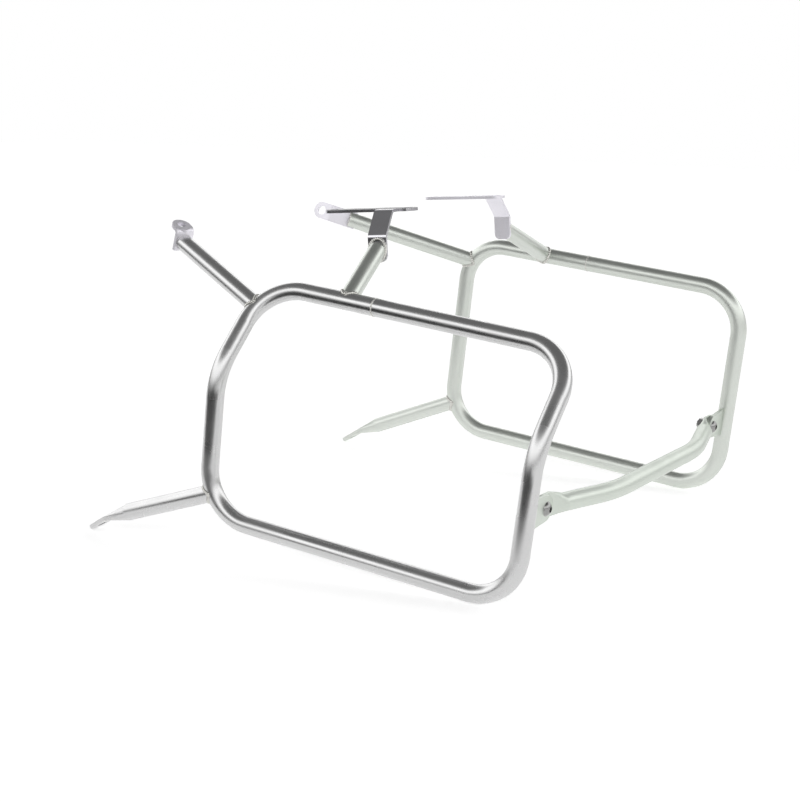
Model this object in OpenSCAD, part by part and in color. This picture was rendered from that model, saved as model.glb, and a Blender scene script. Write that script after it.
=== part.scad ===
// Pannier frame for a motorbike: two tube loops, one each side of the rear wheel,
// with welded stays, tabs and brackets, joined low down by a bolted cross bar.
// +X points to the back of the bike, +Y to its right side, +Z up, in millimetres.
// The frame stands on a level floor at z = 0, on its two front tabs and on the
// rear lower bends of the loops, with its rails a little higher at the front.

/* [Tube] */
// Outer diameter of every tube
tube_d = 18; // [14:0.5:22]
// Wall of the tubes, as seen at an open end
tube_wall = 1.5; // [1:0.25:3]

/* [Loops] */
// Slope of the rails as the frame stands, front end up, in degrees
pitch = 6; // [3:0.5:10]
// Centreline radius of the four corner bends of a loop
corner_r = 49; // [38:1:56]
// Half the distance between the two bottom rails
rail_y = 252; // [220:1:290]
// Distance from the loops' middle back to the rear lower corner
rear_x = 175.5; // [150:0.5:200]
// Length of the left bottom rail, corner to corner
left_l = 346; // [300:2:400]
// Length of the right bottom rail, corner to corner
right_l = 351; // [300:2:400]
// How much further back the top rear corner is than the bottom one
rear_rake = 4.5; // [0:0.5:12]
// How much further back the top front corner is than the bottom one
front_rake = 7; // [0:0.5:12]
// Height of the left loop below its fold, along the tube
lower_h = 145; // [120:1:170]
// Height of the left loop above its fold, along the tube
upper_h = 106; // [96:1:130]
// Lean of the left loop's lower part away from the wheel, in degrees
left_lean = 1.5; // [0:0.5:5]
// Lean of the left loop's upper part towards the wheel, in degrees
fold_lean = 38.5; // [25:0.5:45]
// Centreline radius of the two fold bends
fold_r = 70; // [50:1:90]
// How far the left loop widens at each fold bend
fold_spread = 2; // [0:0.5:5]
// Height of the right loop, along the tube
right_h = 232; // [200:1:260]
// Lean of the right loop towards the wheel, in degrees
right_lean = 2.2; // [0:0.1:6]

/* [Lower stays] */
// Distance forward of the left tab's end from the loops' middle
left_tip_x = 323; // [290:1:350]
// Distance forward of the right tab's end from the loops' middle
right_tip_x = 327; // [290:1:350]
// Half the distance between the two tab ends
tip_y = 247; // [225:1:270]
// Slope of the tabs, in degrees
tab_slope = 32; // [20:1:45]
// Length of a flattened tab
tab_l = 30; // [26:1:40]
// Width of a flattened end
flat_w = 25; // [20:0.5:30]
// Thickness of a flattened end
flat_t = 4; // [3:0.25:6]
// Length over which a round tube turns into a flat end
squeeze_l = 25; // [18:1:35]
// Bore in the flattened ends
tab_bore = 8.5; // [6:0.5:11]
// Where the left stay meets its corner bend, in degrees below the rail direction
left_low_clock = 31; // [15:1:60]
// Where the right stay meets its corner bend, in degrees below the rail direction
right_low_clock = 23; // [15:1:60]

/* [Upper stays] */
// Distance forward of the stay ends from the loops' middle
upper_end_x = 265; // [245:1:290]
// Half the distance between the stay ends
upper_end_y = 160; // [140:1:180]
// Height of the stay ends over the floor
upper_end_z = 297; // [280:1:315]
// Where the left stay meets its corner bend, in degrees above the rail direction
left_up_clock = 27; // [10:1:60]
// Where the right stay meets its corner bend, in degrees above the rail direction
right_up_clock = 32; // [10:1:60]
// Width of the two eyelet strips
eye_w = 20; // [18:0.5:26]
// Thickness of the two eyelet strips
eye_t = 4; // [3:0.25:6]
// Bore of the right eyelet
right_eye_bore = 11; // [8:0.5:13]
// Bore of the left eyelet
left_eye_bore = 8.5; // [6:0.5:10]
// Depth of the slot that holds the right strip in its tube
slot_l = 8; // [5:1:15]
// Length of the right strip from the tube to its bend
right_strip_l = 24; // [18:1:35]
// Distance from the right strip's bend to the middle of its eyelet
right_eye_l = 12; // [11:0.5:20]
// Rise of the right eyelet to its front, in degrees
right_eye_rise = 12; // [0:1:25]
// Height of the left strip's bend over the axis of its tube
left_strip_h = 13; // [11:0.5:20]
// Distance from the left strip's bend to the middle of its eyelet
left_eye_l = 8; // [7:0.5:20]
// Rise of the left eyelet to its front, in degrees
left_eye_rise = 27; // [0:1:45]
// Inner radius of the bends in the strips
strip_bend = 2; // [1:0.5:4]

/* [Brackets] */
// Thickness of the folded sheet
sheet_t = 3; // [2:0.25:4]
// Width of the sheet
sheet_w = 20; // [16:0.5:26]
// Distance forward of the brackets from the loops' middle
bracket_x = 43; // [20:1:70]
// Half the distance between the upright faces of the brackets
bracket_y = 133; // [120:1:150]
// Height over the floor of the lower end of a bracket
bracket_z = 289; // [275:1:300]
// Height of the upright face
upright_h = 25.5; // [23:0.5:35]
// Sideways reach of the slanted face
slant_y = 18; // [12:0.5:26]
// Height of the slanted face
slant_z = 23.5; // [18:0.5:30]
// Distance from the slanted face to the middle of the top plate
neck_y = 20; // [16:0.5:30]
// Distance from the upright's middle forward to the front bore
front_bore_x = 65; // [45:1:80]
// Distance from the upright's middle back to the rear bore
rear_bore_x = 17.5; // [14:0.5:30]
// Bores of the top plate
plate_bore = 8.5; // [6:0.5:10]
// Inner radius of the folds
fold_in_r = 3; // [1.5:0.5:6]
// Slope of the top plate, rear end up, in degrees
plate_slope = 4; // [0:0.5:8]
// Angle by which the top plates close in to the back, in degrees
plate_yaw = 6; // [0:0.5:10]
// Radius of the two lower corners of the upright face
foot_r = 6; // [2:0.5:9]
// Distance from the rear lower corner forward to the rear stays' roots
rear_root = 244; // [200:1:270]

/* [Cross bar and lugs] */
// Height of the bolts over the bottom rails
bolt_h = 83; // [70:1:100]
// Half the distance between the bolts
bolt_y = 210; // [200:1:216]
// Distance from the loops' middle back to the lugs' front faces
lug_x = 173.5; // [170.5:0.5:176.5]
// Thickness of a lug
lug_t = 4; // [3:0.25:6]
// Radius of a lug's nose
nose_r = 12.5; // [10:0.5:16]
// Radius of a lug's root where it meets the tube
root_r = 16; // [13:0.5:22]
// How far the bar's middle lies behind its flat ends
bow = 27; // [15:1:40]
// Half the length of the bar's straight middle
middle_y = 105; // [70:1:130]
// Centreline radius of the bar's bends
bar_r = 90; // [60:1:140]
// Length of a flat end from its bolt to the round tube's squeeze
bar_flat_l = 13; // [12:0.5:20]

/* [Fasteners] */
// Thread diameter of the bolts
bolt_d = 8; // [6:1:8]
// Diameter of a bolt's button head
head_d = 14; // [11:0.5:16]
// Height of a bolt's button head
head_h = 4.4; // [3:0.2:5]
// Hexagon socket across its flats
socket_w = 5; // [4:1:6]
// Depth of the hexagon socket
socket_depth = 2.6; // [1.5:0.1:3]
// Diameter of the washers
washer_d = 16; // [12:0.5:20]
// Thickness of the washers
washer_t = 1.6; // [1:0.1:2.5]
// Nut across its flats
nut_w = 13; // [10:0.5:15]
// Height of a nut
nut_h = 6.5; // [5:0.1:8]
// Length of bolt that stands out of the nut
bolt_out = 2; // [0.5:0.5:6]
// Room between a bolt and its holes, on the diameter
bolt_play = 0.5; // [0.3:0.1:1]
// Room between a washer or nut and its bolt, on the diameter
thread_play = 0.3; // [0.2:0.1:0.6]

/* [Hidden] */

$fn = 48;
hull_fn = 32;
LEFT = -1;
RIGHT = 1;
tube_r = tube_d / 2;
bore_r = tube_r - tube_wall;
bolt_hole = bolt_d + bolt_play;
up = [0, 0, 1];
fold_steps = 6;
// Width and height of a die ring, and the room in it between two lengths of tube
ring_w = 1;
ring_h = 0.02;
ring_gap = 0.15;
// Where a stay starts, from the centreline of the tube that it is coped to
cope_start = 0.6;

// Directions and turns of a path
function unit(v) = v / norm(v);
function turn(a, b, c) = acos(unit(b - a) * unit(c - b));
function tangent_l(a, b, c, r) = r * tan(turn(a, b, c) / 2);
function bend_axis(a, b, c) = unit(cross(b - a, c - b));
function bend_centre(a, b, c, r) = b - tangent_l(a, b, c, r) * unit(b - a)
    + r * cross(bend_axis(a, b, c), unit(b - a));

// A transform whose axes are x, y and z and whose origin is o
function placed(x, y, z, o) = [
    [x.x, y.x, z.x, o.x],
    [x.y, y.y, z.y, o.y],
    [x.z, y.z, z.z, o.z],
    [0, 0, 0, 1]];

// A transform that turns +Z to the direction d, with +Y as near to side as it can be
function facing(d, side, o) = let (x = unit(cross(side, d))) placed(x, cross(d, x), d, o);

// The same for a bend: x away from its centre, y along the path and z its axis
function bend_frame(a, b, c, r) = let (u = unit(b - a), axis = bend_axis(a, b, c))
    placed(cross(u, axis), u, axis, bend_centre(a, b, c, r));

// Turns the rails' own frame to the floor's
function sloped(p) = [
    p.x * cos(pitch) + p.z * sin(pitch),
    p.y,
    p.z * cos(pitch) - p.x * sin(pitch)];
rail_dir = sloped([1, 0, 0]);
rail_up = sloped([0, 0, 1]);

// Corners of a loop in the rails' own frame, bottom rail at z = 0:
// front bottom, rear bottom, then up the rear and down the front
function bottom_l(s) = s == LEFT ? left_l : right_l;
function top_z(s) = s == LEFT
    ? lower_h * cos(left_lean) + upper_h * cos(fold_lean)
    : right_h * cos(right_lean);
function top_y(s) = s == LEFT
    ? rail_y + lower_h * sin(left_lean) - upper_h * sin(fold_lean)
    : rail_y - right_h * sin(right_lean);
fold_z = lower_h * cos(left_lean);
fold_y = rail_y + lower_h * sin(left_lean);
fold_share = fold_z / top_z(LEFT);
function flat_corners(s) = let (back = rear_x, front = rear_x - bottom_l(s)) concat(
    [[front, s * rail_y, 0], [back, s * rail_y, 0]],
    s == LEFT ? [[back + rear_rake * fold_share + fold_spread, s * fold_y, fold_z]] : [],
    [[back + rear_rake, s * top_y(s), top_z(s)], [front + front_rake, s * top_y(s), top_z(s)]],
    s == LEFT ? [[front + front_rake * fold_share - fold_spread, s * fold_y, fold_z]] : []);
function bend_radii(s) = s == LEFT
    ? [corner_r, corner_r, fold_r, corner_r, corner_r, fold_r]
    : [corner_r, corner_r, corner_r, corner_r];

// The lift that puts the rear lower bend of a loop on the floor
function lift(s) = let (
        p = [for (q = flat_corners(s)) sloped(q)],
        centre = bend_centre(p[0], p[1], p[2], corner_r),
        axis = bend_axis(p[0], p[1], p[2]))
    tube_r + corner_r * norm([axis.x, axis.y]) - centre.z;
function standing(s) = [for (q = flat_corners(s)) sloped(q) + [0, 0, lift(s)]];

// Indices of a loop's front top corner
function top_front(s) = s == LEFT ? 4 : 3;

// The middle of the frame's outer size, which becomes the origin
function furthest_back(s) = let (
        p = standing(s),
        k = top_front(s) - 1,
        centre = bend_centre(p[k - 1], p[k], p[k + 1], corner_r),
        axis = bend_axis(p[k - 1], p[k], p[k + 1]))
    centre.x + corner_r * norm([axis.y, axis.z]) + tube_r;
function furthest_left(p, a, b, c) = let (axis = bend_axis(p[a], p[b], p[c]))
    bend_centre(p[a], p[b], p[c], fold_r).y - fold_r * norm([axis.x, axis.z]) - tube_r;
bar_x = lug_x - flat_t / 2;
x_max = max(furthest_back(LEFT), furthest_back(RIGHT), sloped([bar_x + bow, 0, bolt_h]).x + tube_r);
x_min = -max(left_tip_x, right_tip_x) - flat_t / 2 * sin(tab_slope);
y_max = rail_y + tube_r;
y_min = min(furthest_left(standing(LEFT), 1, 2, 3), furthest_left(standing(LEFT), 4, 5, 0));
middle = [(x_max + x_min) / 2, (y_max + y_min) / 2, 0];

function at(s, p) = sloped(p) + [0, 0, lift(s)] - middle;
function corners(s) = [for (p = standing(s)) p - middle];

// A point on the centreline of a front corner bend. The clock turns from the rail's
// direction towards the outside of the loop, away from the other leg of the corner.
function corner_point(s, corner, rail_end, leg_end, clock) = let (
        p = corners(s),
        forward = unit(p[corner] - p[rail_end]),
        leg = p[corner] - p[leg_end],
        outwards = unit(leg - (leg * forward) * forward))
    bend_centre(p[rail_end], p[corner], p[leg_end], corner_r)
        + corner_r * (cos(clock) * forward + sin(clock) * outwards);

// A straight length of tube or bore
module straight(a, b, r) {
    multmatrix(facing(unit(b - a), [0, 1, 0.01], a)) cylinder(h = norm(b - a), r = r);
}

// A bend round the corner b. Its ends are cut back by the length of trim.
module bend(a, b, c, bend_r, r, trim = 0) {
    off = trim / bend_r * 180 / PI;
    multmatrix(bend_frame(a, b, c, bend_r)) rotate([0, 0, off])
        rotate_extrude(angle = turn(a, b, c) - 2 * off) translate([bend_r, 0]) circle(r);
}

// A tube along straight lengths and bends. Where a bend starts or ends, the bending
// die has left a faint ring, which also joins the lengths on both sides of it.
module die_ring(a, d, r) {
    straight(a - ring_w / 2 * d, a + ring_w / 2 * d, r + ring_h);
}

module swept(p, radii, r, closed = false) {
    n = len(p);
    t = [for (i = [0 : n - 1]) closed || (i > 0 && i < n - 1)
        ? tangent_l(p[(i + n - 1) % n], p[i], p[(i + 1) % n], radii[i]) : 0];
    for (i = [0 : n - (closed ? 1 : 2)]) {
        k = (i + 1) % n;
        u = unit(p[k] - p[i]);
        straight(p[i] + (t[i] > 0 ? t[i] + ring_gap : 0) * u,
            p[k] - (t[k] > 0 ? t[k] + ring_gap : 0) * u, r);
        if (t[i] > 0) die_ring(p[i] + t[i] * u, u, r);
        if (t[k] > 0) die_ring(p[k] - t[k] * u, u, r);
    }
    for (i = closed ? [0 : n - 1] : [1 : n - 2])
        bend(p[(i + n - 1) % n], p[i], p[(i + 1) % n], radii[i], r, ring_gap);
}

// The tool that copes a stay to a front corner bend
module corner_cope(s, k) {
    p = corners(s);
    n = len(p);
    bend(p[(k + n - 1) % n], p[k], p[(k + 1) % n], corner_r, tube_r);
}

module loop(s) {
    color("silver") swept(corners(s), bend_radii(s), tube_r, closed = true);
}

// Lower stays: round tube, squeezed to a flat tab that points down to the floor
function tip_x(s) = s == LEFT ? left_tip_x : right_tip_x;
function tab_tip(s) = [-tip_x(s), s * tip_y, flat_t / 2 * cos(tab_slope)] - middle;
tab_dir = [-cos(tab_slope), 0, -sin(tab_slope)];
tab_up = [-sin(tab_slope), 0, cos(tab_slope)];
function tab_root(s) = tab_tip(s) - tab_l * tab_dir;
function tab_frame(s) = placed(tab_dir, cross(tab_up, tab_dir), tab_up, tab_root(s));
function low_root(s) = corner_point(s, 0, 1, len(corners(s)) - 1,
    s == LEFT ? left_low_clock : right_low_clock);
function squeeze_start(s) = tab_root(s) + squeeze_l * unit(low_root(s) - tab_root(s));

// Flat plate with a round end, from the origin along +X, thickness along Z
module flat_end(l, w, t) {
    translate([0, 0, -t / 2]) linear_extrude(t) {
        translate([0, -w / 2]) square([l - w / 2, w]);
        translate([l - w / 2, 0]) circle(w / 2);
    }
}

// Squeeze from a round tube, whose end frame is from, to a flat end, whose frame is to.
// It starts and ends just inside the pieces that it joins.
module squeeze(from, to) {
    hull() {
        multmatrix(from) translate([0, 0, -1]) cylinder(h = 0.1, r = tube_r - 0.03, $fn = hull_fn);
        multmatrix(to) translate([1, 0, 0]) cube([0.1, flat_w - 0.06, flat_t - 0.06], center = true);
    }
}

module lower_stay(s) {
    a = low_root(s);
    b = squeeze_start(s);
    d = unit(b - a);
    color("silver") difference() {
        union() {
            straight(a + cope_start * d, b, tube_r);
            squeeze(facing(d, [0, 1, 0.01], b), tab_frame(s));
            multmatrix(tab_frame(s)) flat_end(tab_l, flat_w, flat_t);
        }
        corner_cope(s, 0);
        multmatrix(tab_frame(s)) translate([tab_l - flat_w / 2, 0, -flat_t])
            cylinder(h = 2 * flat_t, d = tab_bore);
    }
}

// Upper stays: round tube from the front top bend to the front mounting point
function upper_end(s) = [-upper_end_x, s * upper_end_y, upper_end_z] - middle;
function up_root(s) = corner_point(s, top_front(s), top_front(s) - 1,
    (top_front(s) + 1) % len(corners(s)), s == LEFT ? left_up_clock : right_up_clock);
function up_dir(s) = unit(upper_end(s) - up_root(s));

module upper_stay(s) {
    color("silver") difference() {
        straight(up_root(s) + cope_start * up_dir(s), upper_end(s), tube_r);
        straight(up_root(s), upper_end(s) + up_dir(s), bore_r);
        corner_cope(s, top_front(s));
        if (s == RIGHT) right_strip();
    }
}

// The outline of a sheet of thickness t, folded in a plane: its path p has a bend of
// centreline radius radii[i] at each inner point
function left_of(v) = [-v.y, v.x];
function turned(v, a) = [v.x * cos(a) - v.y * sin(a), v.x * sin(a) + v.y * cos(a)];
function bend_edge(a, b, c, r, off) = let (
        u = unit(b - a),
        v = unit(c - b),
        way = cross(u, v) > 0 ? 1 : -1,
        centre = b - r * tan(acos(u * v) / 2) * u + way * r * left_of(u))
    [for (k = [0 : fold_steps])
        centre + (off - way * r) * left_of(turned(u, way * acos(u * v) * k / fold_steps))];
function sheet_edge(p, radii, off) = let (n = len(p)) [for (i = [0 : n - 1]) each
    i == 0 ? [p[0] + off * left_of(unit(p[1] - p[0]))]
    : i == n - 1 ? [p[i] + off * left_of(unit(p[i] - p[i - 1]))]
    : bend_edge(p[i - 1], p[i], p[i + 1], radii[i], off)];
module sheet_outline(p, radii, t) {
    left = sheet_edge(p, radii, t / 2);
    right = sheet_edge(p, radii, -t / 2);
    polygon(concat(left, [for (i = [len(right) - 1 : -1 : 0]) right[i]]));
}

// A strip with a bend at o and an eyelet. Its leg comes to the bend along leg_dir
// and its eyelet leaves it along eye_dir.
function strip_frame(leg_dir, eye_dir, o) = let (y = unit(cross(leg_dir, eye_dir)))
    placed(eye_dir, y, cross(eye_dir, y), o);

module strip(leg_dir, leg_l, eye_dir, eye_l, o) {
    normal = cross(eye_dir, unit(cross(leg_dir, eye_dir)));
    multmatrix(strip_frame(leg_dir, eye_dir, o)) {
        rotate([90, 0, 0]) linear_extrude(eye_w, center = true)
            sheet_outline([-leg_l * [leg_dir * eye_dir, leg_dir * normal], [0, 0], [eye_l, 0]],
                [0, strip_bend + eye_t / 2, 0], eye_t);
        translate([eye_l - 1, 0, 0]) flat_end(1 + eye_w / 2, eye_w, eye_t);
    }
}

// The right strip sits in a slot across its tube and is bent to face the bike
right_bend_at = upper_end(RIGHT) + right_strip_l * up_dir(RIGHT);
right_eye_dir = [-cos(right_eye_rise), 0, sin(right_eye_rise)];

module right_strip() {
    strip(up_dir(RIGHT), right_strip_l + slot_l, right_eye_dir, right_eye_l, right_bend_at);
}

module right_eyelet() {
    color("gainsboro") difference() {
        right_strip();
        multmatrix(strip_frame(up_dir(RIGHT), right_eye_dir, right_bend_at))
            translate([right_eye_l, 0, 0]) cylinder(h = 3 * eye_t, d = right_eye_bore, center = true);
    }
}

// The left strip closes the end of its tube and is bent forward over it
left_width_dir = unit(cross(up, up_dir(LEFT)));
left_strip_up = cross(up_dir(LEFT), left_width_dir);
left_bend_at = upper_end(LEFT) + eye_t / 2 * up_dir(LEFT) + left_strip_h * left_strip_up;
left_eye_dir = cos(left_eye_rise) * cross(left_width_dir, up) + sin(left_eye_rise) * up;

module left_eyelet() {
    color("gainsboro") difference() {
        strip(left_strip_up, left_strip_h + tube_r, left_eye_dir, left_eye_l, left_bend_at);
        multmatrix(strip_frame(left_strip_up, left_eye_dir, left_bend_at))
            translate([left_eye_l, 0, 0]) cylinder(h = 3 * eye_t, d = left_eye_bore, center = true);
    }
}

// Brackets: one folded sheet each, with an upright, a slant and a top plate.
// In a bracket's own frame x runs back along the plate, y out and z up.
plate_y = -slant_y - neck_y;
plate_z = upright_h + slant_z;
function bracket_x_dir(s) = [
    cos(plate_yaw) * cos(plate_slope),
    -s * sin(plate_yaw) * cos(plate_slope),
    sin(plate_slope)];
function bracket_y_dir(s) = s * unit(cross(up, bracket_x_dir(s)));
function bracket_z_dir(s) = s * cross(bracket_x_dir(s), bracket_y_dir(s));
function bracket_foot(s) = [-bracket_x, s * bracket_y, bracket_z] - middle;

// The left bracket is the right one mirrored, so its own frame is a mirrored one
module at_bracket(s) {
    multmatrix(placed(bracket_x_dir(s), bracket_y_dir(s), bracket_z_dir(s), bracket_foot(s))) children();
}

module bracket(s) {
    color("lavender") at_bracket(s) difference() {
        union() {
            rotate([90, 0, 90]) linear_extrude(sheet_w, center = true)
                sheet_outline([[0, foot_r], [0, upright_h], [-slant_y, plate_z], [plate_y, plate_z]],
                    [0, fold_in_r + sheet_t / 2, fold_in_r + sheet_t / 2, 0], sheet_t);
            rotate([90, 0, 0]) linear_extrude(sheet_t, center = true) {
                translate([-sheet_w / 2 + foot_r, 0]) square([sheet_w - 2 * foot_r, foot_r]);
                for (x = [-1, 1]) translate([x * (sheet_w / 2 - foot_r), foot_r]) circle(foot_r);
                translate([-sheet_w / 2, foot_r]) square([sheet_w, 1]);
            }
            translate([0, plate_y, plate_z - sheet_t / 2]) linear_extrude(sheet_t) {
                translate([-front_bore_x, -sheet_w / 2]) square([front_bore_x + rear_bore_x, sheet_w]);
                for (x = [-front_bore_x, rear_bore_x]) translate([x, 0]) circle(sheet_w / 2);
            }
        }
        for (x = [-front_bore_x, rear_bore_x])
            translate([x, plate_y, plate_z - sheet_t]) cylinder(h = 2 * sheet_t, d = plate_bore);
    }
}

// Rear stays: short tubes from the top rails to the outer faces of the brackets
function rear_stay_root(s) = at(s, [rear_x - rear_root, s * top_y(s), top_z(s)]);
function rear_stay_end(s) = bracket_foot(s) + upright_h / 2 * bracket_z_dir(s);

module rear_stay(s) {
    p = corners(s);
    a = rear_stay_root(s);
    b = rear_stay_end(s);
    color("silver") difference() {
        straight(a + cope_start * unit(b - a), b, tube_r);
        straight(p[top_front(s) - 1], p[top_front(s)], tube_r);
        at_bracket(s) translate([-tube_d, sheet_t / 2 - 2 * tube_d, -tube_d])
            cube([2 * tube_d, 2 * tube_d, upright_h + 2 * tube_d]);
    }
}

// Lugs: flat plates across the rail direction, inside the rear uprights
function bolt_at(s, x) = at(s, [x, s * bolt_y, bolt_h]);
function upright_y(s) = rail_y + (s == LEFT ? bolt_h * tan(left_lean) : -bolt_h * tan(right_lean));

// A frame at a bolt: x out from the wheel, y up the loop, z back along the rails
module at_bolt(s, x) {
    multmatrix(placed([0, s, 0], s * rail_up, rail_dir, bolt_at(s, x))) children();
}

module lug(s) {
    p = corners(s);
    base = upright_y(s) - bolt_y;
    color("gainsboro") difference() {
        at_bolt(s, lug_x) linear_extrude(lug_t) {
            polygon([[0, nose_r], [0, -nose_r], [base, -root_r], [base, root_r]]);
            circle(nose_r);
        }
        straight(p[1], p[2], tube_r);
        at_bolt(s, lug_x - 1) cylinder(h = lug_t + 2, d = bolt_hole);
    }
}

// Cross bar: bent tube with a flat, bored end in front of each lug
function bar_flat_end(s) = at(s, [bar_x, s * (bolt_y - bar_flat_l), bolt_h]);
function bar_bend(s) = at(s, [bar_x + bow, s * middle_y, bolt_h]);
function bar_round_end(s) = let (a = bar_flat_end(s), b = bar_bend(s)) a + squeeze_l * unit(b - a)
    + flat_t * rail_dir;

function bar_end_frame(s) = placed([0, s, 0], s * rail_up, rail_dir, bar_flat_end(s));

module cross_bar() {
    color("lightgray") difference() {
        union() {
            swept([bar_round_end(LEFT), bar_bend(LEFT), bar_bend(RIGHT), bar_round_end(RIGHT)],
                [0, bar_r, bar_r, 0], tube_r);
            for (s = [LEFT, RIGHT]) {
                squeeze(facing(unit(bar_round_end(s) - bar_bend(s)), up, bar_round_end(s)),
                    bar_end_frame(s));
                multmatrix(bar_end_frame(s)) flat_end(bar_flat_l + flat_w / 2, flat_w, flat_t);
            }
        }
        for (s = [LEFT, RIGHT]) at_bolt(s, bar_x - flat_t) cylinder(h = 2 * flat_t, d = bolt_hole);
    }
}

// Fasteners: the head is behind the lug, the washer and the nut are in front of the bar
grip_back = lug_x + lug_t;
grip_front = bar_x - flat_t / 2;
nut_x = grip_front - washer_t - nut_h;

// Button head: a low dome cut from a ball
module button_head() {
    ball_r = (pow(head_d / 2, 2) + pow(head_h, 2)) / (2 * head_h);
    intersection() {
        translate([0, 0, head_h - ball_r]) sphere(ball_r);
        cylinder(h = head_h, d = head_d);
    }
}

module bolt(s) {
    shank_l = grip_back - nut_x + bolt_out;
    color("dimgray") at_bolt(s, nut_x - bolt_out) difference() {
        union() {
            cylinder(h = shank_l + 0.5, d = bolt_d);
            translate([0, 0, shank_l]) button_head();
        }
        translate([0, 0, shank_l + head_h - socket_depth])
            cylinder(h = socket_depth + 1, d = socket_w / cos(30), $fn = 6);
    }
}

module washer(s) {
    color("gray") at_bolt(s, grip_front - washer_t) difference() {
        cylinder(h = washer_t, d = washer_d);
        translate([0, 0, -1]) cylinder(h = washer_t + 2, d = bolt_d + thread_play);
    }
}

module nut(s) {
    color("dimgray") at_bolt(s, nut_x) difference() {
        cylinder(h = nut_h, d = nut_w / cos(30), $fn = 6);
        translate([0, 0, -1]) cylinder(h = nut_h + 2, d = bolt_d + thread_play);
    }
}

loop(LEFT);  // left_loop
loop(RIGHT);  // right_loop
lower_stay(LEFT);  // left_lower_stay
lower_stay(RIGHT);  // right_lower_stay
upper_stay(LEFT);  // left_upper_stay
upper_stay(RIGHT);  // right_upper_stay
left_eyelet();
right_eyelet();
rear_stay(LEFT);  // left_rear_stay
rear_stay(RIGHT);  // right_rear_stay
bracket(LEFT);  // left_bracket
bracket(RIGHT);  // right_bracket
lug(LEFT);  // left_lug
lug(RIGHT);  // right_lug
cross_bar();
bolt(LEFT);  // left_bolt
bolt(RIGHT);  // right_bolt
washer(LEFT);  // left_washer
washer(RIGHT);  // right_washer
nut(LEFT);  // left_nut
nut(RIGHT);  // right_nut
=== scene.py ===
"""Looks for a motorbike pannier frame: satin stainless finishes, weld beads and a plain studio."""
import math

import bmesh
import bpy
from mathutils import Matrix, Vector
from mathutils.bvhtree import BVHTree


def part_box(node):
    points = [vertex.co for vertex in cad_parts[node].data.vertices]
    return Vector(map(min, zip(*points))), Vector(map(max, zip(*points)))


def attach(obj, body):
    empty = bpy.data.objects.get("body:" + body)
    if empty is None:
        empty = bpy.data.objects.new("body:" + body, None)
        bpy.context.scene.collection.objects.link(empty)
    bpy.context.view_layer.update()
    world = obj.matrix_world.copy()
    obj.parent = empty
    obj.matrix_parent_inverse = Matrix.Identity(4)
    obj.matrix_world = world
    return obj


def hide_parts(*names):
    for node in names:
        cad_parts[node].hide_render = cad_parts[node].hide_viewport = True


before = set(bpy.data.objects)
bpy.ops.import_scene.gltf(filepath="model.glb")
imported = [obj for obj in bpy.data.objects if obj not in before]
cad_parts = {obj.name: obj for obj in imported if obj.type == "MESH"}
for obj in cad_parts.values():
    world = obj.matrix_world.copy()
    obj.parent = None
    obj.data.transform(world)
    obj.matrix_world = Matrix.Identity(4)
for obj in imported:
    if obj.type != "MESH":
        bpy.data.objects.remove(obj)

bl_info = {
    "name": "Pannier frame looks",
    "version": (1, 0, 0),
    "blender": (4, 5, 0),
    "location": "View3D > Sidebar > Pannier frame",
    "description": "Finishes, weld beads and studio for a motorbike pannier frame",
    "category": "Object",
}

MM = 0.001
BODY = "root"
TUBE_R = 9.0 * MM
WASHER_T = 1.6 * MM
# the cross bar's middle lies this far right of the part's
BAR_MIDDLE_Y = 1.6 * MM

# width over which the white sheet fades out, and how white the floor round it is
SHEET_FADE = 60 * MM
DARK_FLOOR = 0.04
# height (0 is the horizon, 1 is straight up) and level of the room's light
ROOM_LIGHT = ((0.0, 0.30), (0.10, 0.55), (0.24, 1.5), (0.52, 1.75), (0.64, 0.36), (0.75, 0.18),
              (1.0, 0.18))

# the part of a noise's range that is used, and what it does to roughness and to colour
NOISE_LOW, NOISE_HIGH = 0.3, 0.7
SMOOTHER, ROUGHER = 0.03, 0.04
DARKER, PALER = 0.94, 1.03
CLOUD_SPACING = 30 * MM
GRAIN_DEPTH = 0.05 * MM
WELD_GRAIN = 0.6 * MM

BEAD_STEPS = 160
RIPPLE_DEPTH = 0.16
# the longest faces of a tube's mesh that are read for its axis
SIDE_FACES = 40
# a hit further than this from the joint lies on another part of the carrier
BEAD_REACH = 3 * TUBE_R
# a seam's rays start this far above the loop
CAST_HEIGHT = 10 * MM

BEND_STEPS = 8
BAR_SEGMENTS = 64
# the bar's tube meets its flat end this far behind it
FLAT_SETBACK = 2 * MM
# the tube is still round this far before the squeeze
RUN_IN = 4 * MM
# how fast the width grows in the squeeze, and how square a flat section gets
SPREAD_POWER = 0.8
SQUARENESS = 0.62
# a round end stops short of 90 degrees, so that its last ring isn't a point
ROUND_END = math.radians(84)

# loop, and x of its butt weld on the top rail
BUTT_WELDS = (("left_loop", 46 * MM), ("right_loop", 70 * MM))
LUGS = ("left_lug", "right_lug")
FASTENERS = ("left_bolt", "right_bolt", "left_washer", "right_washer", "left_nut", "right_nut")


def srgb(code):
    """A sRGB hex colour as linear RGBA."""
    parts = [int(code[i:i + 2], 16) / 255 for i in (1, 3, 5)]
    linear = [c / 12.92 if c <= 0.04045 else ((c + 0.055) / 1.055) ** 2.4 for c in parts]
    return (*linear, 1.0)


def add_node(tree, kind, links=None, **values):
    """Add a node, set its properties and sockets, and link sockets from links."""
    node = tree.nodes.new(kind)
    for key, value in values.items():
        if hasattr(node, key):
            setattr(node, key, value)
        else:
            node.inputs[key.replace("_", " ")].default_value = value
    for key, source in (links or {}).items():
        tree.links.new(source, node.inputs[key])
    return node


# Camera, floor and light

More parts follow.
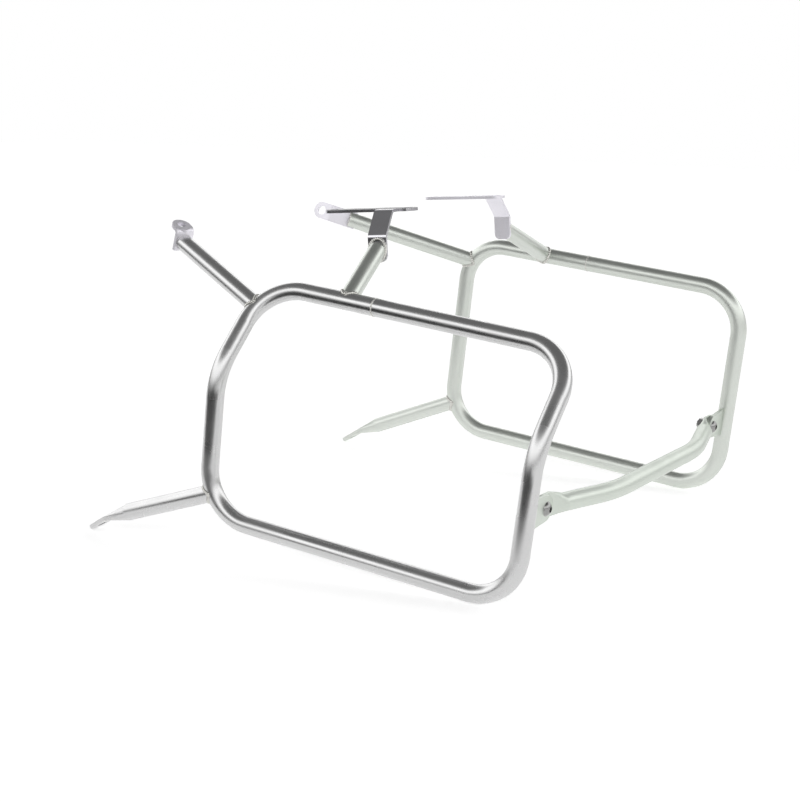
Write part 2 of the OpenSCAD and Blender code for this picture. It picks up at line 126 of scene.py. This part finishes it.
class StudioSizes(bpy.types.PropertyGroup):
    lens: bpy.props.FloatProperty(
        name="Lens", description="Focal length of the camera", default=76.32, unit="CAMERA")
    place: bpy.props.FloatVectorProperty(
        name="Camera place", description="Where the camera stands",
        default=(0.89368, -1.56123, 0.48748), subtype="XYZ", unit="LENGTH")
    turn: bpy.props.FloatProperty(
        name="Turn", description="Turn of the camera about the upright axis, in degrees",
        default=30.86)
    tilt: bpy.props.FloatProperty(
        name="Tilt", description="Downward tilt of the camera, in degrees", default=11.41)
    roll: bpy.props.FloatProperty(
        name="Roll", description="Roll of the camera, in degrees", default=0.48)
    floor: bpy.props.FloatVectorProperty(
        name="Floor", description="Colour of the floor", default=(0.9, 0.9, 0.9), subtype="COLOR")
    floor_size: bpy.props.FloatProperty(
        name="Floor size", description="Width of the floor", default=12.0, unit="LENGTH")
    floor_lift: bpy.props.FloatProperty(
        name="Floor lift", description="White added to the floor for the camera and reflections",
        default=0.47)
    sheet_reach: bpy.props.FloatProperty(
        name="Sheet reach",
        description="How far the white sheet reaches to the dark side of the room",
        default=0.40, unit="LENGTH")
    dark_end: bpy.props.FloatProperty(
        name="Dark end", description="Where the dark floor ends on the right of the camera",
        default=0.45, unit="LENGTH")


class PANNIERFRAME_OT_studio(bpy.types.Operator):
    """Add the floor, the room's soft light and the camera"""
    bl_idname = "pannierframe.studio"
    bl_label = "Studio"

    def execute(self, context):
        sizes = context.scene.pannier_studio
        scene = context.scene
        scene.view_settings.view_transform = "Standard"

        turn, tilt, roll = (math.radians(a) for a in (sizes.turn, sizes.tilt, sizes.roll))
        ahead = Vector((-math.sin(turn) * math.cos(tilt), math.cos(turn) * math.cos(tilt),
                        -math.sin(tilt)))
        level = Vector((math.cos(turn), math.sin(turn), 0.0))
        top = level.cross(ahead)
        right = level * math.cos(roll) + top * math.sin(roll)
        above = top * math.cos(roll) - level * math.sin(roll)
        data = bpy.data.cameras.new("camera")
        data.lens = sizes.lens
        data.sensor_width = 36.0
        data.clip_end = 50.0
        camera = bpy.data.objects.new("camera", data)
        rotation = Matrix((right, above, -ahead)).transposed().to_4x4()
        camera.matrix_world = Matrix.Translation(Vector(sizes.place)) @ rotation
        scene.collection.objects.link(camera)
        scene.camera = camera

        add_floor(sizes)
        add_sky(scene)
        return {"FINISHED"}


def stage_square(name, width, mat):
    """A level square at height 0 that isn't part of the object."""
    bm = bmesh.new()
    bmesh.ops.create_grid(bm, x_segments=1, y_segments=1, size=width / 2)
    mesh = bpy.data.meshes.new(name)
    bm.to_mesh(mesh)
    bm.free()
    piece = bpy.data.objects.new(name, mesh)
    bpy.context.scene.collection.objects.link(piece)
    mesh.materials.append(mat)


def add_floor(sizes):
    """A white sheet on a dark floor. To the camera it is white wherever nothing shades it."""
    mat = bpy.data.materials.new("matt white paper floor")
    mat.use_nodes = True
    tree = mat.node_tree
    tree.nodes.clear()
    coords = add_node(tree, "ShaderNodeTexCoord")
    split = add_node(tree, "ShaderNodeSeparateXYZ", {"Vector": coords.outputs["Object"]})
    # the sheet's edges fade out softly
    front = add_node(tree, "ShaderNodeMapRange", {"Value": split.outputs["Y"]},
                     From_Min=-sizes.sheet_reach - SHEET_FADE, From_Max=-sizes.sheet_reach,
                     To_Min=DARK_FLOOR, To_Max=1.0)
    beside = add_node(tree, "ShaderNodeMapRange", {"Value": split.outputs["X"]},
                      From_Min=sizes.dark_end, From_Max=sizes.dark_end + SHEET_FADE,
                      To_Min=DARK_FLOOR, To_Max=1.0)
    sheet = add_node(tree, "ShaderNodeMath", {
        0: front.outputs["Result"], 1: beside.outputs["Result"]}, operation="MAXIMUM")
    path = add_node(tree, "ShaderNodeLightPath")
    white = add_node(tree, "ShaderNodeMath", {
        0: sheet.outputs["Value"], 1: path.outputs["Is Camera Ray"]}, operation="MAXIMUM")
    tone = add_node(tree, "ShaderNodeVectorMath", {"Scale": white.outputs["Value"]},
                    operation="SCALE")
    tone.inputs[0].default_value = sizes.floor
    paper = add_node(tree, "ShaderNodeBsdfDiffuse", {"Color": tone.outputs["Vector"]})
    # the sheet looks as bright in the steel as it does to the camera
    seen = add_node(tree, "ShaderNodeMath", {
        0: path.outputs["Is Camera Ray"], 1: path.outputs["Is Glossy Ray"]}, operation="MAXIMUM")
    share = add_node(tree, "ShaderNodeMath", {
        0: seen.outputs["Value"], 1: white.outputs["Value"]}, operation="MULTIPLY")
    lift = add_node(tree, "ShaderNodeMath", {0: share.outputs["Value"]}, operation="MULTIPLY")
    lift.inputs[1].default_value = sizes.floor_lift
    glow = add_node(tree, "ShaderNodeEmission", {"Strength": lift.outputs["Value"]})
    both = add_node(tree, "ShaderNodeAddShader", {0: paper.outputs[0], 1: glow.outputs[0]})
    out = add_node(tree, "ShaderNodeOutputMaterial")
    tree.links.new(both.outputs[0], out.inputs["Surface"])
    stage_square("floor", sizes.floor_size, mat)


def add_sky(scene):
    """Light from a pale room that is dark overhead and at the horizon, white to the camera."""
    world = bpy.data.worlds.new("pale studio")
    scene.world = world
    world.use_nodes = True
    tree = world.node_tree
    tree.nodes.clear()
    coords = add_node(tree, "ShaderNodeTexCoord")
    split = add_node(tree, "ShaderNodeSeparateXYZ", {"Vector": coords.outputs["Generated"]})
    ramp = add_node(tree, "ShaderNodeValToRGB", {"Fac": split.outputs["Z"]})
    stops = ramp.color_ramp.elements
    # a new ramp has the two end stops already
    for stop, (height, level) in zip(stops, (ROOM_LIGHT[0], ROOM_LIGHT[-1])):
        stop.position = height
        stop.color = (level, level, level, 1.0)
    for height, level in ROOM_LIGHT[1:-1]:
        stop = stops.new(height)
        stop.color = (level, level, level, 1.0)
    room = add_node(tree, "ShaderNodeBackground", {"Color": ramp.outputs["Color"]}, Strength=1.0)
    # only the camera sees the white. The steel mirrors the room, which gives it its bands
    path = add_node(tree, "ShaderNodeLightPath")
    white = add_node(tree, "ShaderNodeBackground", Color=(1.0, 1.0, 1.0, 1.0), Strength=1.0)
    mix = add_node(tree, "ShaderNodeMixShader", {
        0: path.outputs["Is Camera Ray"], 1: room.outputs[0], 2: white.outputs[0]})
    out = add_node(tree, "ShaderNodeOutputWorld")
    tree.links.new(mix.outputs[0], out.inputs["Surface"])


# Steel finishes

class FinishColours(bpy.types.PropertyGroup):
    # the left tube colour is a darker grey than the right one on the same steel: painted shade
    tube: bpy.props.StringProperty(
        name="Tube", description="Colour of the left satin tube, as a hex code", default="#CFCFCF")
    # the right tube colour is a paler grey: painted light, for the brighter room that the far tubes
    # mirror
    far_tube_painted_light: bpy.props.StringProperty(
        name="Right tube", description="Colour of the right satin tube, as a hex code",
        default="#D6DAD4")
    sheet: bpy.props.StringProperty(
        name="Sheet", description="Colour of the folded sheet, as a hex code", default="#DAD9DD")
    # a paler colour than the left bracket's sheet: painted light, besides the matt finish
    matt_sheet_painted_light: bpy.props.StringProperty(
        name="Matt sheet", description="Colour of the matt right sheet and of both eyelets",
        default="#EFEDF3")
    # a paler grey than the left tube's: painted light
    bar: bpy.props.StringProperty(
        name="Cross bar", description="Colour of the cross bar, as a hex code", default="#D2D8D0")
    weld: bpy.props.StringProperty(
        name="Weld", description="Colour of the weld beads, as a hex code", default="#D6D5D0")
    fastener: bpy.props.StringProperty(
        name="Fastener", description="Colour of bolts and nuts, as a hex code", default="#9C9C9B")
    grain: bpy.props.FloatProperty(
        name="Grain", description="Spacing of the brushed grain", default=0.0008, unit="LENGTH")


def steel(name, colour, rough, spacing, bump):
    """Stainless steel with a fine satin grain and slow changes of gloss."""
    mat = bpy.data.materials.new(name)
    mat.use_nodes = True
    tree = mat.node_tree
    tree.nodes.clear()
    coords = add_node(tree, "ShaderNodeTexCoord")
    # the real grain is finer than 0.1 mm. It is drawn at 0.6 to 0.8 mm, so that it shows
    grain = add_node(tree, "ShaderNodeTexNoise", {"Vector": coords.outputs["Object"]},
                     Scale=1.0 / spacing, Detail=4.0, Roughness=0.6)
    # clouds of more and less gloss, about 30 mm apart
    clouds = add_node(tree, "ShaderNodeTexNoise", {"Vector": coords.outputs["Object"]},
                      Scale=1.0 / CLOUD_SPACING, Detail=3.0, Roughness=0.5)
    gloss = add_node(tree, "ShaderNodeMapRange", {"Value": clouds.outputs["Fac"]},
                     From_Min=NOISE_LOW, From_Max=NOISE_HIGH,
                     To_Min=rough - SMOOTHER, To_Max=rough + ROUGHER)
    tint = add_node(tree, "ShaderNodeMapRange", {"Value": grain.outputs["Fac"]},
                    From_Min=NOISE_LOW, From_Max=NOISE_HIGH, To_Min=DARKER, To_Max=PALER)
    shade = add_node(tree, "ShaderNodeVectorMath", {1: tint.outputs["Result"]},
                     operation="MULTIPLY")
    shade.inputs[0].default_value = srgb(colour)[:3]
    ripple = add_node(tree, "ShaderNodeBump", {"Height": grain.outputs["Fac"]},
                      Strength=bump, Distance=GRAIN_DEPTH)
    skin = add_node(tree, "ShaderNodeBsdfPrincipled", {
        "Base Color": shade.outputs["Vector"], "Roughness": gloss.outputs["Result"],
        "Normal": ripple.outputs["Normal"]}, Metallic=1.0)
    out = add_node(tree, "ShaderNodeOutputMaterial")
    tree.links.new(skin.outputs[0], out.inputs["Surface"])
    return mat


def dress(nodes, mat):
    """Give CAD nodes a finish in place of their plain one."""
    for name in nodes:
        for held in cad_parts[name].material_slots:
            held.material = mat


class PANNIERFRAME_OT_finishes(bpy.types.Operator):
    """Give every steel piece its finish"""
    bl_idname = "pannierframe.finishes"
    bl_label = "Finishes"

    def execute(self, context):
        tones = context.scene.pannier_finishes
        # satin stainless tube: soft highlights that run along each tube. The left tubes get a
        # darker grey than the right ones on the same steel: painted shade, for the dark room that
        # they mirror
        dress(("left_loop", "left_lower_stay", "left_upper_stay"),
              steel("satin stainless steel tube left in painted shade", tones.tube, rough=0.27,
                    spacing=tones.grain, bump=0.25))
        # the right tubes and both rear stays get a paler grey of the same steel: painted light
        dress(("right_loop", "right_lower_stay", "right_upper_stay", "left_rear_stay",
               "right_rear_stay"),
              steel("satin stainless steel tube right in painted light", tones.far_tube_painted_light, rough=0.40,
                    spacing=tones.grain, bump=0.25))
        # cold-rolled sheet: the left bracket is bright, the right one and the eyelets are matt.
        # These also get a paler colour than the left bracket: painted light on the same sheet
        dress(("left_bracket",),
              steel("bright stainless steel sheet", tones.sheet, rough=0.17,
                    spacing=tones.grain, bump=0.3))
        dress(("right_bracket", "left_eyelet", "right_eyelet"),
              steel("matt stainless steel sheet in painted light", tones.matt_sheet_painted_light, rough=0.50,
                    spacing=tones.grain, bump=0.3))
        # the cross bar and its lugs have the same satin, in a paler grey than the left tubes:
        # painted light, as on the right tubes
        bar = steel("satin stainless steel bar in painted light", tones.bar, rough=0.42,
                    spacing=tones.grain, bump=0.4)
        dress(LUGS, bar)
        dress(("cross_bar",), bar)
        dress(FASTENERS,
              steel("plain stainless steel fastener", tones.fastener, rough=0.25,
                    spacing=tones.grain, bump=0.2))
        return {"FINISHED"}


# Weld beads

class WeldSizes(bpy.types.PropertyGroup):
    bead: bpy.props.FloatProperty(
        name="Bead", description="Radius of a weld bead", default=0.0017, unit="LENGTH")
    rim: bpy.props.FloatProperty(
        name="Rim", description="Radius of the bead on the end of an upper stay", default=0.0011,
        unit="LENGTH")
    seam: bpy.props.FloatProperty(
        name="Seam", description="Radius of a ground butt weld", default=0.0008, unit="LENGTH")
    ripple: bpy.props.FloatProperty(
        name="Ripple", description="Length of one ripple along a bead", default=0.0022,
        unit="LENGTH")


def tube_axis(name):
    """A point on the axis of a CAD tube and the direction of the axis, from its long side faces."""
    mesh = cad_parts[name].data
    sides = sorted(mesh.polygons, key=lambda face: -max(
        (mesh.vertices[a].co - mesh.vertices[b].co).length for a, b in face.edge_keys))[:SIDE_FACES]
    first = sides[0].normal
    other = max(sides, key=lambda face: first.cross(face.normal).length)
    along = first.cross(other.normal).normalized()
    u = along.orthogonal().normalized()
    v = along.cross(u)
    centre = Vector((0.0, 0.0, 0.0))
    # the long faces lie on the tube, so their outward normals lead back to the axis
    for face in sides:
        middle = sum((mesh.vertices[i].co for i in face.vertices), Vector()) / len(face.vertices)
        centre += middle - TUBE_R * face.normal
    centre /= len(sides)
    return centre, along, u, v


def tree_of(name):
    """A CAD node's mesh in a form that rays can be cast onto."""
    return BVHTree.FromObject(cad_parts[name], bpy.context.evaluated_depsgraph_get())


def bead(name, points, radius, ripple, mat):
    """A rippled weld bead that runs through the points and closes on itself."""
    data = bpy.data.curves.new(name, "CURVE")
    data.dimensions = "3D"
    data.bevel_depth = radius
    data.bevel_resolution = 3
    data.use_fill_caps = True
    line = data.splines.new("POLY")
    line.points.add(len(points) - 1)
    line.use_cyclic_u = True
    run = 0.0
    for i, place in enumerate(points):
        run += (place - points[i - 1]).length if i else 0.0
        line.points[i].co = (*place, 1.0)
        line.points[i].radius = 1.0 + RIPPLE_DEPTH * math.sin(2 * math.pi * run / ripple)
    data.materials.append(mat)
    piece = bpy.data.objects.new(name, data)
    bpy.context.scene.collection.objects.link(piece)
    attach(piece, BODY)


def cope_bead(stay, carrier, sizes, mat):
    """A bead where a tube stay meets the piece that carries it."""
    centre, along, u, v = tube_axis(stay)
    tree = tree_of(carrier)
    near = tree.find_nearest(centre)[0]
    way = along if (near - centre).dot(along) > 0 else -along
    root = tree.ray_cast(centre, way)[0]
    points = []
    for k in range(BEAD_STEPS):
        angle = 2 * math.pi * k / BEAD_STEPS
        out = TUBE_R * (math.cos(angle) * u + math.sin(angle) * v)
        hit = tree.ray_cast(centre + out, way)[0]
        if hit is None or (hit - root).length > BEAD_REACH:
            hit = tree.find_nearest(root + out)[0]
        points.append(hit)
    bead("weld_" + stay + "_" + carrier, points, sizes.bead, sizes.ripple, mat)


def rim_bead(stay, eyelet, sizes, mat):
    """A bead round the end of an upper stay, where the strip of its eyelet is welded in."""
    centre, along, u, v = tube_axis(stay)
    low, high = (Vector(corner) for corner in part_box(eyelet))
    way = along if ((low + high) / 2 - centre).dot(along) > 0 else -along
    reach = max((vert.co - centre).dot(way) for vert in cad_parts[stay].data.vertices)
    angles = [2 * math.pi * k / BEAD_STEPS for k in range(BEAD_STEPS)]
    inner = TUBE_R - sizes.rim
    points = [centre + reach * way + inner * (math.cos(a) * u + math.sin(a) * v) for a in angles]
    bead("weld_" + stay + "_" + eyelet, points, sizes.rim, sizes.ripple, mat)


def seam(loop, x, pitch, sizes, mat):
    """The ground butt weld that closes a loop, on its top rail at x."""
    tree = tree_of(loop)
    low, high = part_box(loop)
    steps = int((high[1] - low[1]) / MM)
    hits = [tree.ray_cast(Vector((x, low[1] + k * MM, high[2] + CAST_HEIGHT)),
                          Vector((0.0, 0.0, -1.0)))[0] for k in range(steps)]
    slope = math.radians(pitch)
    lift = Vector((math.sin(slope), 0.0, math.cos(slope)))
    centre = max((hit for hit in hits if hit), key=lambda hit: hit.z) - TUBE_R * lift
    side = Vector((0.0, 1.0, 0.0))
    angles = [2 * math.pi * k / BEAD_STEPS for k in range(BEAD_STEPS)]
    # the weld is ground down, so only half of its radius stands out
    inner = TUBE_R - sizes.seam / 2
    points = [centre + inner * (math.cos(a) * side + math.sin(a) * lift) for a in angles]
    bead("seam_%s_%d" % (loop, round(x / MM)), points, sizes.seam, sizes.ripple, mat)


class PANNIERFRAME_OT_weld_beads(bpy.types.Operator):
    """Run a rippled bead round every welded joint"""
    bl_idname = "pannierframe.weld_beads"
    bl_label = "Weld beads"

    def execute(self, context):
        sizes = context.scene.pannier_welds
        tones = context.scene.pannier_finishes
        mat = steel("rippled weld metal", tones.weld, rough=0.30, spacing=WELD_GRAIN, bump=0.6)
        for side in ("left", "right"):
            for stay in ("lower_stay", "upper_stay", "rear_stay"):
                cope_bead(side + "_" + stay, side + "_loop", sizes, mat)
            cope_bead(side + "_rear_stay", side + "_bracket", sizes, mat)
            rim_bead(side + "_upper_stay", side + "_eyelet", sizes, mat)
        for loop, x in BUTT_WELDS:
            seam(loop, x, context.scene.pannier_bar.pitch, sizes, mat)
        return {"FINISHED"}


# Cross bar

class BarSizes(bpy.types.PropertyGroup):
    pitch: bpy.props.FloatProperty(
        name="Pitch", description="Slope of the rails, in degrees", default=6.0)
    bow: bpy.props.FloatProperty(
        name="Bow", description="How far the middle lies behind the ends", default=0.027,
        unit="LENGTH")
    middle_y: bpy.props.FloatProperty(
        name="Middle", description="Half the length of the middle, up to its corners",
        default=0.105, unit="LENGTH")
    bend_r: bpy.props.FloatProperty(
        name="Bend", description="Centreline radius of the bends", default=0.200, unit="LENGTH")
    flat_l: bpy.props.FloatProperty(
        name="Flat", description="Length of a flat end inside its bolt", default=0.013,
        unit="LENGTH")
    squeeze_l: bpy.props.FloatProperty(
        name="Squeeze", description="Length over which the tube turns flat", default=0.018,
        unit="LENGTH")
    flat_w: bpy.props.FloatProperty(
        name="Flat width", description="Width of a flat end", default=0.025, unit="LENGTH")
    flat_t: bpy.props.FloatProperty(
        name="Flat thickness", description="Thickness of a flat end", default=0.004, unit="LENGTH")


def bar_half(side, sizes):
    """Rings from the middle of the bar to one end: place, direction, half width,
    half thickness and how flat the section is, from 0 (round) to 1."""
    slope = math.radians(sizes.pitch)
    back = Vector((math.cos(slope), 0.0, -math.sin(slope)))
    low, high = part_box(side + "_washer")
    bolt = (Vector(low) + Vector(high)) / 2 + (WASHER_T + sizes.flat_t) / 2 * back
    sign = -1 if side == "left" else 1
    out = Vector((0.0, sign, 0.0))
    flat_start = bolt - sizes.flat_l * out
    corner = Vector((bolt.x, BAR_MIDDLE_Y + sign * sizes.middle_y, bolt.z)) + sizes.bow * back
    leg = (flat_start + FLAT_SETBACK * back - corner).normalized()
    turn = out.angle(leg)
    cut = sizes.bend_r * math.tan(turn / 2)
    rings = [(corner - cut * out, out, TUBE_R, TUBE_R, 0.0)]
    centre = corner - cut * out - sizes.bend_r * back
    for k in range(1, BEND_STEPS + 1):
        a = turn * k / BEND_STEPS
        d = math.cos(a) * out - math.sin(a) * back
        rings.append((centre + sizes.bend_r * (math.cos(a) * back + math.sin(a) * out), d,
                      TUBE_R, TUBE_R, 0.0))
    squeeze_start = (flat_start + sizes.squeeze_l * (corner - flat_start).normalized()
                     + FLAT_SETBACK * back)
    rings.append((squeeze_start - RUN_IN * leg, leg, TUBE_R, TUBE_R, 0.0))
    for k in range(BEND_STEPS + 1):
        t = k / BEND_STEPS
        ease = t * t * (3 - 2 * t)
        rings.append((squeeze_start.lerp(flat_start, t), leg.lerp(out, ease).normalized(),
                      TUBE_R + (sizes.flat_w / 2 - TUBE_R) * t ** SPREAD_POWER,
                      TUBE_R + (sizes.flat_t / 2 - TUBE_R) * math.sin(t * math.pi / 2), ease))
    rings.append((bolt, out, sizes.flat_w / 2, sizes.flat_t / 2, 1.0))
    for k in range(1, BEND_STEPS + 1):
        a = ROUND_END * k / BEND_STEPS
        rings.append((bolt + sizes.flat_w / 2 * math.sin(a) * out, out,
                      sizes.flat_w / 2 * math.cos(a), sizes.flat_t / 2, 1.0))
    return rings, back


class PANNIERFRAME_OT_cross_bar(bpy.types.Operator):
    """Build the cross bar with long bends and smoothly squeezed ends"""
    bl_idname = "pannierframe.cross_bar"
    bl_label = "Cross bar"

    def execute(self, context):
        sizes = context.scene.pannier_bar
        left, back = bar_half("left", sizes)
        right = bar_half("right", sizes)[0]
        rings = [(p, -d, w, t, f) for p, d, w, t, f in reversed(left)] + right
        bm = bmesh.new()
        loops = []
        for place, way, wide, thick, flat in rings:
            across = back.cross(way).normalized()
            depth = way.cross(across)
            # a section goes from an ellipse to a slot with round edges as it gets flat
            power = 1.0 - SQUARENESS * flat
            verts = bmesh.ops.create_circle(bm, segments=BAR_SEGMENTS, radius=1.0)["verts"]
            for vert in verts:
                x, y = vert.co.x, vert.co.y
                vert.co = (place + math.copysign(abs(x) ** power, x) * wide * across
                           + math.copysign(abs(y) ** power, y) * thick * depth)
            # each edge once, in a fixed order, so that every run gives the same mesh
            loops.append(list(dict.fromkeys(edge for vert in verts for edge in vert.link_edges)))
        for first, second in zip(loops, loops[1:]):
            bmesh.ops.bridge_loops(bm, edges=first + second)
        for end in (loops[0], loops[-1]):
            bmesh.ops.edgeloop_fill(bm, edges=end)
        bmesh.ops.recalc_face_normals(bm, faces=bm.faces)
        mesh = bpy.data.meshes.new("smooth_cross_bar")
        bm.to_mesh(mesh)
        bm.free()
        mesh.shade_smooth()
        mesh.materials.append(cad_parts["cross_bar"].material_slots[0].material)
        piece = bpy.data.objects.new("smooth_cross_bar", mesh)
        context.scene.collection.objects.link(piece)
        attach(piece, BODY)
        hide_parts("cross_bar")
        return {"FINISHED"}


class PANNIERFRAME_PT_panel(bpy.types.Panel):
    """Pieces of the pannier frame"""
    bl_idname = "PANNIERFRAME_PT_panel"
    bl_label = "Pannier frame"
    bl_space_type = "VIEW_3D"
    bl_region_type = "UI"
    bl_category = "Pannier frame"

    def draw(self, context):
        for operator in OPERATORS:
            self.layout.operator(operator.bl_idname)


OPERATORS = (PANNIERFRAME_OT_studio, PANNIERFRAME_OT_finishes, PANNIERFRAME_OT_cross_bar,
             PANNIERFRAME_OT_weld_beads)
CLASSES = (StudioSizes, FinishColours, BarSizes, WeldSizes) + OPERATORS + (PANNIERFRAME_PT_panel,)


def register():
    for cls in CLASSES:
        bpy.utils.register_class(cls)
    bpy.types.Scene.pannier_studio = bpy.props.PointerProperty(type=StudioSizes)
    bpy.types.Scene.pannier_finishes = bpy.props.PointerProperty(type=FinishColours)
    bpy.types.Scene.pannier_bar = bpy.props.PointerProperty(type=BarSizes)
    bpy.types.Scene.pannier_welds = bpy.props.PointerProperty(type=WeldSizes)


def unregister():
    del bpy.types.Scene.pannier_welds
    del bpy.types.Scene.pannier_bar
    del bpy.types.Scene.pannier_finishes
    del bpy.types.Scene.pannier_studio
    for cls in reversed(CLASSES):
        bpy.utils.unregister_class(cls)


def main():
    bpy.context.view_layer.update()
    register()
    bpy.ops.pannierframe.studio()
    bpy.ops.pannierframe.finishes()
    bpy.ops.pannierframe.cross_bar()
    bpy.ops.pannierframe.weld_beads()
    bpy.context.view_layer.update()


if __name__ == "__main__":
    main()
